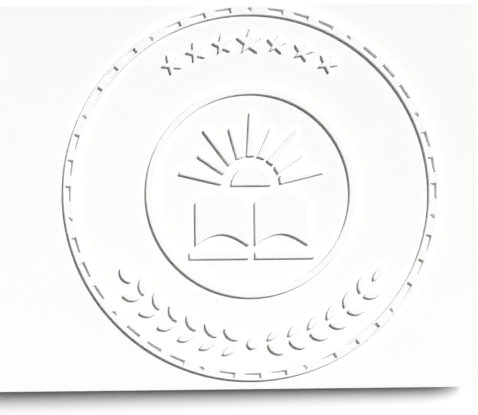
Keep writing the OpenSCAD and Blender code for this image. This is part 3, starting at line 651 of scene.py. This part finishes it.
def relief(flat, outlines):
    """The seal's height at every point of the flat card, and its slopes along both axes."""
    dist, foot, normal = nearest(flat, outlines)
    raised = inside_count(flat, outlines) % 2 == 1
    t = np.clip((np.where(raised, dist, -dist) + FLANK) / (2 * FLANK), 0, 1)
    height = RELIEF * t * t * (3 - 2 * t)
    steep = RELIEF * 6 * t * (1 - t) / (2 * FLANK)
    way = np.where(raised[:, None], flat - foot, foot - flat)
    size = np.linalg.norm(way, axis=1)
    # On the outline itself the way up comes from a point a little beside it.
    beside = inside_count(foot + BESIDE * normal, outlines) % 2 == 1
    up = np.where(beside, 1.0, -1.0)[:, None] * normal
    way = np.where((size > ON_OUTLINE)[:, None], way / np.maximum(size, ON_OUTLINE)[:, None], up)
    return height, steep * way[:, 0], steep * way[:, 1]


def bow(x, y):
    """How the card has sprung up towards the press: its lift, its slopes along X and Y, and its pull."""
    t = np.clip((CARD_X0 + BOW_L - x) / BOW_L, 0, 1)
    most = BOW_H * (1 + BOW_LEAN * y)
    slope_x = -most * BOW_CURVE * t ** (BOW_CURVE - 1) / BOW_L
    return most * t ** BOW_CURVE, slope_x, BOW_H * BOW_LEAN * t ** BOW_CURVE, BOW_PULL * t ** 2


def sheet(name, top, under, tris, normals):
    """A closed sheet of two like sides and a rim, with the given normals on its sides."""
    n = len(top)
    sides = dict.fromkeys((f[i], f[(i + 1) % 3]) for f in tris for i in range(3))
    rim = [(a, b) for a, b in sides if (b, a) not in sides]
    faces = tris + [(a + n, c + n, b + n) for a, b, c in tris] + [(b, a, a + n, b + n) for a, b in rim]
    obj = put(name, np.concatenate([top, under]), faces)
    both = np.concatenate([normals, -normals])
    split = []
    for poly in obj.data.polygons:
        if len(poly.vertices) == 4:
            split += [tuple(poly.normal)] * 4
        else:
            split += [tuple(both[v]) for v in poly.vertices]
    obj.data.normals_split_custom_set(split)
    return obj


def make_card():
    """The embossed card. The seal's +Y is the scene's +X, and its +X the scene's -Y."""
    outlines = seal_outlines()
    flat, tris = card_net(outlines)
    height, rise_u, rise_v = relief(flat, outlines)
    x, y = SEAL_X + flat[:, 1], -flat[:, 0]
    lift, slope_x, slope_y, pull = bow(x, y)
    normals = np.stack([-rise_v - slope_x, rise_u - slope_y, np.ones_like(x)], 1)
    normals /= np.linalg.norm(normals, axis=1)[:, None]
    top = np.stack([x + pull, y, CARD_T + height + lift], 1)
    return sheet("card_sheet", top, top - (0, 0, CARD_T), tris, normals)


card = make_card()
paint(card, card_stock())
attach(card, "card")
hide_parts("card")

# ---------------------------------------------------------------- looks of the CAD pieces

nickel_plate = turned_metal("nickel_plate", NICKEL, 0.10, 0.22)
black = plain_metal("blackened_steel", (0.055, 0.055, 0.06), 0.34, 0.5, 600)
soft = rubber()

# Of each piece: its material, and its edges' rounding in millimetres and in segments.
looks = {
    "rubber_sole": (soft, 0.3, 2),
    "frame_bolts": (black, 0.4, 2),
    "head_bush": (turned_metal("oiled_bronze", BRONZE, 0.24, 0.40), 0.3, 2),
    "guide_screw": (turned_metal("guide_nickel", NICKEL, 0.12, 0.24, ACROSS, (0, 0, GUIDE[2])), 0.25, 2),
    "ram": (turned_metal("turned_steel", STEEL, 0.16, 0.30), 0.3, 2),
    "ram_cap": (turned_metal("cap_steel", STEEL, 0.14, 0.26), 0.3, 2),
    "buffer_washer": (soft, 0.25, 2),
    "upper_holder": (nickel_plate, 0.2, 2),
    "upper_grubs": (black, 0.12, 1),
    "lower_holder": (nickel_plate, 0.2, 2),
    "lower_grubs": (black, 0.12, 1),
    "anvil_screw": (black, 0.12, 1),
    "lever_bushes": (turned_metal("hub_bronze", BRONZE, 0.24, 0.4, ACROSS, PIN), 0.2, 2),
    "pivot_washers": (turned_metal("washer_brass", BRASS, 0.2, 0.34, ACROSS, PIN), 0.25, 2),
    "pivot_pin": (turned_metal("pin_steel", STEEL, 0.14, 0.28, ACROSS, PIN), 0.3, 2),
    "pivot_clip": (black, 0.15, 1),
    "ferrule": (turned_metal("ferrule_brass", BRASS, 0.12, 0.24, ARM_WAY, PIN), 0.3, 2),
    "grip_screw": (turned_metal("end_brass", BRASS, 0.14, 0.28, ARM_WAY, PIN), 0.25, 2),
    "stop_rod": (turned_metal("rod_steel", STEEL, 0.14, 0.28, LENGTHWISE, (0, 0, THUMB[2])), 0.2, 2),
    "stop_plate": (brushed_metal("plate_brass", BRASS, 0.2, 0.34, (1.0, 0.05, 1.0), 0.0, 0.0000005), 0.4, 3),
    "thumb_screw": (turned_metal("thumb_brass", BRASS, 0.16, 0.3, ACROSS, (THUMB[0], 0, THUMB[2])), 0.15, 2),
}
for name, (material, width, segments) in looks.items():
    paint(nodes[name], material)
    soften(nodes[name], width, segments)

# The dies' drawings stay as sharp as they are cut.
paint(nodes["female_die"], turned_metal("turned_brass", BRASS, 0.16, 0.32))
paint(nodes["male_die"], resin())

# ---------------------------------------------------------------- solids with rounded edges

EDGE_STEPS = 5
CAP_TOUCH = 1e-7  # lines of a flat face that come closer than this meet
ONE_POINT = 0.000002  # in metres: a solid's points that lie closer than this become one


def rounding(r, height, up):
    """Stations (offset, height) of a rounded edge, from below. up is 1 for an upper edge, -1 for a lower."""
    made = [(-r + r * math.cos(t), height - up * r + up * r * math.sin(t)) for t in quarter(EDGE_STEPS)]
    return made if up > 0 else made[::-1]


def rings(outline, stations):
    """A wall: the outline, offset and raised as each station says."""
    return [(offset(outline, d), z) for d, z in stations]


def wall_faces(first, n, count):
    """Quads between count rings of n points each, the first of which is numbered first."""
    return [(first + i * n + k, first + i * n + (k + 1) % n,
             first + (i + 1) * n + (k + 1) % n, first + (i + 1) * n + k)
            for i in range(count - 1) for k in range(n)]


def cap_net(loops):
    """Points and triangles of a flat face between loops."""
    points, edges = [], []
    for loop in loops:
        at = len(points)
        points += [Vector(p) for p in loop]
        edges += [(at + k, at + (k + 1) % len(loop)) for k in range(len(loop))]
    flat, _, tris, _, _, _ = geometry.delaunay_2d_cdt(points, edges, [], 0, CAP_TOUCH, False)
    middles = np.array([[sum(flat[i][k] for i in t) / 3 for k in (0, 1)] for t in tris])
    keep = inside_count(middles, loops) % 2 == 1
    return flat, [t for t, inside in zip(tris, keep) if inside]


def body(walls, caps, place):
    """Points and faces of a closed body: walls of rings, and flat caps whose inner loops are holes."""
    verts, faces = [], []
    for wall in walls:
        faces += wall_faces(len(verts), len(wall[0][0]), len(wall))
        verts += [place(x, y, z) for loop, z in wall for x, y in loop]
    for loops, z in caps:
        flat, tris = cap_net(loops)
        faces += [tuple(len(verts) + i for i in t) for t in tris]
        verts += [place(x, y, z) for x, y in flat]
    return verts, faces


def solid(name, parts):
    """One object of several closed bodies, with flat faces kept flat."""
    verts, faces = [], []
    for v, f in parts:
        faces += [tuple(i + len(verts) for i in face) for face in f]
        verts += v
    obj = put(name, verts, faces)
    work = bmesh.new()
    work.from_mesh(obj.data)
    bmesh.ops.remove_doubles(work, verts=work.verts, dist=ONE_POINT)
    bmesh.ops.recalc_face_normals(work, faces=work.faces)
    work.to_mesh(obj.data)
    work.free()
    obj.modifiers.new("normals", "WEIGHTED_NORMAL").weight = NORMAL_WEIGHT
    return obj


# ---------------------------------------------------------------- base plate

BASE_CORNER = 14.0
BASE_STEP = 1.5  # of the plate's upper edge, in and down
BASE_UPPER_R, BASE_LOWER_R = 1.0, 0.5  # radii of its rounded edges
SOLE_INSET = 2.5
HOLE_SINK = 5.2  # radius of a bench hole's countersink
SINK_OUT, SINK_IN, SINK_DOWN = 0.25, 0.05, 0.3  # the reach of its broken edge
HOLE_SIDES = 40
HOLES = mounts["bench_holes"]


def base_outline():
    """A half circle in front and two round corners behind."""
    front = BASE_HIGH[1]
    x, y = BASE_LOW[0] + BASE_CORNER, front - BASE_CORNER
    rear = arc(x, y, BASE_CORNER, 90, 180, 24) + arc(x, -y, BASE_CORNER, 180, 270, 24)
    return np.array(arc(0, 0, front, -90, 90, 72) + rear)


def bench_holes():
    """The walls of the four countersunk holes."""
    middle_x, middle_y, _ = in_mm(HOLES["pos_m"])
    reach_x, reach_y = HOLES["dims"]["spacing_x_mm"] / 2, HOLES["dims"]["spacing_y_mm"] / 2
    r, top = HOLES["dims"]["hole_r_mm"], BASE_HIGH[2]
    stations = [(HOLE_SINK + SINK_OUT, top), (HOLE_SINK - SINK_IN, top - SINK_DOWN)]
    stations += [(r, top - HOLE_SINK + r), (r, SOLE_TOP)]
    one = np.array(circle(1.0, HOLE_SIDES))
    spots = [(middle_x + i * reach_x, middle_y + k * reach_y) for i in (-1, 1) for k in (-1, 1)]
    return [[(spot + one * size, z) for size, z in stations] for spot in spots]


def make_base():
    """The base plate: two steps with rounded edges, a recess for the sole, and the bench holes."""
    low, high = BASE_LOW[2], BASE_HIGH[2]
    ledge = high - BASE_STEP
    stations = [(-SOLE_INSET, SOLE_TOP), (-SOLE_INSET, low)] + rounding(BASE_LOWER_R, low, -1)
    stations += rounding(BASE_UPPER_R, ledge, 1) + [(-BASE_STEP, ledge)]
    stations += [(d - BASE_STEP, z) for d, z in rounding(BASE_UPPER_R, high, 1)]
    wall, holes = rings(base_outline(), stations), bench_holes()
    top = [wall[-1][0]] + [hole[0][0] for hole in holes]
    ceiling = [wall[0][0]] + [hole[-1][0] for hole in holes]
    return solid("base_slab", [body([wall] + holes, [(top, high), (ceiling, SOLE_TOP)], lambda *p: p)])


# ---------------------------------------------------------------- lever

CAM_GAP = 0.05
CAM_R = PIN[0]  # the cam's lead for each radian, and how far the pin stands before the ram
CAM_DROP = PIN[2] - CAP_TOP - CAM_GAP
CAM_FROM, CAM_TO = -34, 41  # degrees
ARM_L, ARM_T = 72.0, 14.0
ARM_ROOT, ARM_TIP, ARM_HEEL = 10.0, 6.5, 40.0  # half heights, and where the cam's back meets the arm
TIP_L, TIP_CUT = 3.0, 1.5  # cut corners of the arm's end
HUB_R = LEVER_HIGH[0] - PIN[0]
HUB_HALF = LEVER_HIGH[1]
HUB_WALL = 2.0  # between the arm's front corner and the hub's round
BORE_R, BORE_LEAD = 6.0, 0.4
ARM_EDGE_R, HUB_EDGE_R = 0.8, 0.7
POCKET_FROM, POCKET_TO, POCKET_R, POCKET_DEEP = 22.0, 62.0, 4.0, 2.0
POCKET_LIP, POCKET_FOOT = 0.5, 0.8  # radii of its rounded edges
POCKET_EDGE_STEPS = 4
TANG_R, TANG_IN, TANG_OUT = 4.5, 2.0, 77.0
BORE_SIDES, HUB_SIDES, TANG_SIDES = 64, 96, 32


def on_arm(along, across, up):
    """A point given along the arm from the pin, across it and above it."""
    return tuple(PIN[k] + along * ARM_WAY[k] + across * ACROSS[k] + up * ARM_UP[k] for k in range(3))


def side_on(along, up):
    """The same in the side view, as (x, z) from the pin."""
    return (along * ARM_WAY[0] + up * ARM_UP[0], along * ARM_WAY[2] + up * ARM_UP[2])


def lever_outline():
    """The arm and its cam from the side, about the pin."""
    cam = []
    for degrees in range(CAM_FROM, CAM_TO + 1):
        t = math.radians(degrees)
        reach = CAM_DROP + CAM_R * t
        cam.append((-CAM_R * math.cos(t) - reach * math.sin(t), CAM_R * math.sin(t) - reach * math.cos(t)))
    neck = ARM_L - TIP_L
    heel = ARM_ROOT + (ARM_TIP - ARM_ROOT) * ARM_HEEL / neck
    corner = ARM_TIP - TIP_CUT
    under = [(ARM_HEEL, -heel), (neck, -ARM_TIP), (ARM_L, -corner)]
    over = [(ARM_L, corner), (neck, ARM_TIP), (0, ARM_ROOT)]
    arm = [side_on(along, up) for along, up in under + over]
    return counterclockwise(cam + arm + [(HUB_R - HUB_WALL, 0)])


def pocket_stations():
    """Offsets and heights from the arm's face down to the pocket's floor."""
    turns = quarter(POCKET_EDGE_STEPS)
    face = ARM_T / 2
    low = face - POCKET_DEEP + POCKET_FOOT
    lip = [(POCKET_LIP * (1 - math.sin(t)), face - POCKET_LIP * (1 - math.cos(t))) for t in turns]
    foot = [(POCKET_FOOT * (math.cos(t) - 1), low - POCKET_FOOT * math.sin(t)) for t in turns]
    return lip + foot


def arm_body():
    """The arm with its cam, the bore and a shallow pocket in each side."""
    face = ARM_T / 2
    pocket = arc(POCKET_TO, 0, POCKET_R, -90, 90, 16) + arc(POCKET_FROM, 0, POCKET_R, 90, 270, 16)
    pocket = counterclockwise([side_on(x, y) for x, y in pocket])
    hole = np.array(circle(BORE_R, BORE_SIDES))
    shell = rings(lever_outline(), rounding(ARM_EDGE_R, -face, -1) + rounding(ARM_EDGE_R, face, 1))
    walls, caps = [shell, [(hole, -face), (hole, face)]], []
    for s, rim in ((-1, shell[0][0]), (1, shell[-1][0])):
        dish = rings(pocket, [(d, s * y) for d, y in pocket_stations()])
        walls.append(dish)
        caps.append(([rim, hole, dish[0][0]], s * face))
        caps.append(([dish[-1][0]], s * (face - POCKET_DEEP)))
    return walls, caps


def hub_body():
    """The hub: a sleeve with rounded ends, and a bore with a lead at each end."""
    edges = rounding(HUB_EDGE_R, -HUB_HALF, -1) + rounding(HUB_EDGE_R, HUB_HALF, 1)
    sleeve = rings(np.array(circle(HUB_R, HUB_SIDES)), edges)
    plain = HUB_HALF - BORE_LEAD
    stations = [(BORE_LEAD, -HUB_HALF), (0, -plain), (0, plain), (BORE_LEAD, HUB_HALF)]
    bore = rings(np.array(circle(BORE_R, BORE_SIDES)), stations)
    ends = [([sleeve[k][0], bore[k][0]], bore[k][1]) for k in (0, -1)]
    return [sleeve, bore], ends


def make_lever():
    """The lever: an arm with a cam, its hub, and the tang that goes through the grip."""
    def from_side(x, z, y):
        return (PIN[0] + x, y, PIN[2] + z)

    def from_end(across, up, along):
        return on_arm(along, across, up)

    bar = np.array(circle(TANG_R, TANG_SIDES))
    ends = (ARM_L - TANG_IN, ARM_L + TANG_OUT)
    tang = body([[(bar, t) for t in ends]], [([bar], t) for t in ends], from_end)
    return solid("lever_body", [body(*arm_body(), from_side), body(*hub_body(), from_side), tang])


# ---------------------------------------------------------------- casting, grip and spring

CASTING_VOXEL = 0.0007  # in metres
CASTING_ROUNDS, CASTING_PULL = 7, 0.5  # times and strength of the smoothing that rounds its edges
CASTING_KEPT = 0.6  # the share of its triangles that stays
FERRULE_L = 3.0
GRIP_L, GRIP_R = 88.0, 11.0
GRIP_FRONT_R, GRIP_BORE_R = 6.0, 4.6
GRIP_FROM = 0.05  # where its flat front lies, just clear of the ferrule's face
EASE, EASE_L = 0.35, 2.0  # how far the front edge is eased back, and over what length
SCREW_SEAT_R, SCREW_SEAT_DEEP, SCREW_HOLE_R = 3.98, 2.9, 2.1
SEAT_OUT, SEAT_FROM, SEAT_TO = 0.07, 0.15, 0.5  # its broken edge: how much wider, and from where to where
GRIP_SIDES = 72
WIRE, SPRING_TURNS = 2.2, 4.75
SPRING_L = CAP_LOW - SPRING_FOOT
SPRING_R = SPRING_OUT - WIRE / 2
GROUND_OFF = 0.02  # how far its ground ends stay clear of what they press on
WIRE_SIDES, STEPS_PER_TURN = 14, 40


def make_casting():
    """The casting with soft, cast edges."""
    rough = bpy.data.objects.new("rough_casting", nodes["frame_casting"].data.copy())
    scene.collection.objects.link(rough)
    weld(rough)
    remesh = rough.modifiers.new("remesh", "REMESH")
    remesh.mode = "VOXEL"
    remesh.voxel_size = CASTING_VOXEL
    remesh.use_smooth_shade = True
    smooth = rough.modifiers.new("smooth", "SMOOTH")
    smooth.factor = CASTING_PULL
    smooth.iterations = CASTING_ROUNDS
    rough.modifiers.new("thin", "DECIMATE").ratio = CASTING_KEPT
    bpy.context.view_layer.update()
    graph = bpy.context.evaluated_depsgraph_get()
    mesh = bpy.data.meshes.new_from_object(rough.evaluated_get(graph))
    bpy.data.objects.remove(rough)
    shade_smooth(mesh)
    made = bpy.data.objects.new("casting", mesh)
    scene.collection.objects.link(made)
    return made


def bezier(controls, steps):
    """Points of the cubic curve with four control points, without its first one."""
    points = []
    for i in range(1, steps + 1):
        t, u = i / steps, 1 - i / steps
        points.append(tuple(u ** 3 * a + 3 * u * u * t * b + 3 * u * t * t * c + t ** 3 * d
                            for a, b, c, d in zip(*controls)))
    return points


def grip_profile():
    """(radius, distance) pairs from the grip's bore, over its swell and round end, into the screw's seat."""
    front = (GRIP_FRONT_R + 0.4, 0)
    swell = (GRIP_R, GRIP_L * 0.5)
    shoulder = (GRIP_R - 0.1, GRIP_L - 11)
    end = (4.3, GRIP_L)
    outer = [front] + bezier([front, (8.6, 6), (GRIP_R, 18), swell], 20)
    outer += bezier([swell, (GRIP_R, GRIP_L * 0.72), (GRIP_R - 0.4, GRIP_L - 16), shoulder], 12)
    outer += bezier([shoulder, (GRIP_R + 0.2, GRIP_L - 3.5), (6.5, GRIP_L), end], 16)
    eased = [(r, t + EASE * (1 - t / EASE_L) if t < EASE_L else t) for r, t in outer]
    bore = [(GRIP_BORE_R, GRIP_FROM), (GRIP_FRONT_R, GRIP_FROM)]
    floor = GRIP_L - SCREW_SEAT_DEEP
    seat = [(SCREW_SEAT_R + SEAT_OUT, GRIP_L - SEAT_FROM), (SCREW_SEAT_R, GRIP_L - SEAT_TO)]
    return bore + eased + seat + [(SCREW_SEAT_R, floor), (SCREW_HOLE_R, floor)]


def make_grip():
    """The grip, turned about the arm's line."""
    profile = grip_profile()
    start = ARM_L + FERRULE_L
    verts = [on_arm(start + t, *p) for r, t in profile for p in circle(r, GRIP_SIDES)]
    return put("turned_grip", verts, wall_faces(0, GRIP_SIDES, len(profile)))


def make_spring():
    """An open coil spring with its two ends ground flat."""
    steps = int(SPRING_TURNS * STEPS_PER_TURN)
    rise = SPRING_L - WIRE
    lean = math.atan(rise / SPRING_TURNS / (2 * math.pi * SPRING_R))
    low, high = SPRING_FOOT + GROUND_OFF, SPRING_FOOT + SPRING_L - GROUND_OFF
    section = circle(WIRE / 2, WIRE_SIDES)
    verts = []
    for i in range(steps + 1):
        a = 2 * math.pi * SPRING_TURNS * i / steps
        c, s = math.cos(a), math.sin(a)
        z = SPRING_FOOT + WIRE / 2 + rise * i / steps
        for out, up in section:
            r, back = SPRING_R + out, up * math.sin(lean)
            verts.append((r * c + back * s, r * s - back * c, min(max(z + up * math.cos(lean), low), high)))
    # The wall's quads, turned round so that they face outwards.
    faces = [f[:1] + f[:0:-1] for f in wall_faces(0, WIRE_SIDES, steps + 1)]
    faces.append(tuple(range(WIRE_SIDES)))
    faces.append(tuple(steps * WIRE_SIDES + k for k in reversed(range(WIRE_SIDES))))
    return put("coil_spring", verts, faces)


base = make_base()
paint(base, flat_enamel())
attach(base, "frame")
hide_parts("base_plate")

lever = make_lever()
paint(lever, brushed_metal("lever_nickel", NICKEL, 0.14, 0.30, (0.02, 1.0, 1.0), -LEAN, 0.0000015))
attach(lever, "lever")
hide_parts("lever")

casting = make_casting()
paint(casting, cast_enamel())
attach(casting, "frame")
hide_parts("frame_casting")

grip = make_grip()
paint(grip, phenolic())
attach(grip, "lever")
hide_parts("grip")

spring = make_spring()
paint(spring, plain_metal("spring_wire", (0.42, 0.42, 0.44), 0.22, 0.36, 500))
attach(spring, "frame")
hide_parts("return_spring")
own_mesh(spring)

# ---------------------------------------------------------------- the desk

DESK_HALF = 60000  # so that no end of the desk is ever seen
DESK_Z = -0.04  # just under the rubber sole

desk_top = block(-DESK_HALF, -DESK_HALF, DESK_HALF, DESK_HALF)
desk = put("desk", [(x, y, DESK_Z) for x, y in desk_top], [(0, 1, 2, 3)])
paint(desk, new_material("desk_white", (0.66, 0.66, 0.66), 0.9, Specular_IOR_Level=0.0))

# ---------------------------------------------------------------- camera and lights, in metres

AIM = (0.07705, 0.00158, CARD_T * MM)  # the point in the picture's middle
AWAY = 0.4
PICTURE_W = 0.06324  # what the picture shows from side to side
TILT, ROLL = math.radians(2.0), math.radians(-90.5)

camera = bpy.data.objects.new("camera", bpy.data.cameras.new("camera"))
scene.collection.objects.link(camera)
camera.location = (AIM[0], AIM[1] + AWAY * math.sin(TILT), AIM[2] + AWAY * math.cos(TILT))
camera.rotation_euler = (0, -TILT, ROLL)
camera.data.lens = camera.data.sensor_width * AWAY / PICTURE_W
camera.data.clip_start = 0.01
camera.data.dof.use_dof = False
scene.camera = camera

scene.view_settings.view_transform = "Standard"
scene.view_settings.look = "None"
scene.view_settings.exposure = 0
scene.view_settings.gamma = 1

# The room: pairs of a place between just below the horizon, 0, and overhead, 1, and its brightness.
SKY = ((0.0, 0.9), (0.12, 0.9), (0.22, 0.36), (0.40, 0.13), (0.6, 0.09), (1.0, 0.12))
SKY_FROM, SKY_TO = -0.1, 1.0  # the heights of those two places, on a sphere of radius 1


def sun(name, azimuth, elevation, width, energy, receivers):
    """A sun that lights the receivers only. azimuth counts in the picture, from its right to its top."""
    a, e = math.radians(azimuth), math.radians(elevation)
    way = Vector((math.sin(a) * math.cos(e), -math.cos(a) * math.cos(e), math.sin(e)))
    lamp = bpy.data.lights.new(name, "SUN")
    lamp.angle = math.radians(width)
    lamp.energy = energy
    obj = bpy.data.objects.new(name, lamp)
    obj.rotation_euler = way.to_track_quat("Z", "Y").to_euler()
    obj.location = way
    scene.collection.objects.link(obj)
    group = bpy.data.collections.new(name + "_on")
    for receiver in receivers:
        group.objects.link(receiver)
    obj.light_linking.receiver_collection = group


def room():
    """A studio: bright round the horizon, for the metals to mirror, and dim overhead."""
    world = bpy.data.worlds.new("room")
    world.use_nodes = True
    scene.world = world
    tree = world.node_tree
    where = tree.nodes.new("ShaderNodeTexCoord")
    parts = tree.nodes.new("ShaderNodeSeparateXYZ")
    up = tree.nodes.new("ShaderNodeMapRange")
    up.inputs["From Min"].default_value = SKY_FROM
    up.inputs["From Max"].default_value = SKY_TO
    ramp = tree.nodes.new("ShaderNodeValToRGB")
    stops = ramp.color_ramp.elements
    for at, _ in SKY[1:-1]:
        stops.new(at)
    for stop, (at, tone) in zip(stops, SKY):
        stop.position = at
        stop.color = (tone, tone, tone, 1)
    tree.links.new(where.outputs["Generated"], parts.inputs[0])
    tree.links.new(parts.outputs["Z"], up.inputs["Value"])
    tree.links.new(up.outputs["Result"], ramp.inputs["Fac"])
    tree.links.new(ramp.outputs["Color"], tree.nodes["Background"].inputs["Color"])


room()
press = [casting, base, lever, grip, spring] + [node for name, node in nodes.items() if name != "card"]
sun("key_on_card", azimuth=46, elevation=46, width=3, energy=3.79, receivers=[card])
sun("key_on_desk", azimuth=22.5, elevation=30.5, width=34, energy=9.6, receivers=[desk])
sun("key_on_press", azimuth=32, elevation=52, width=30, energy=4.4, receivers=press)
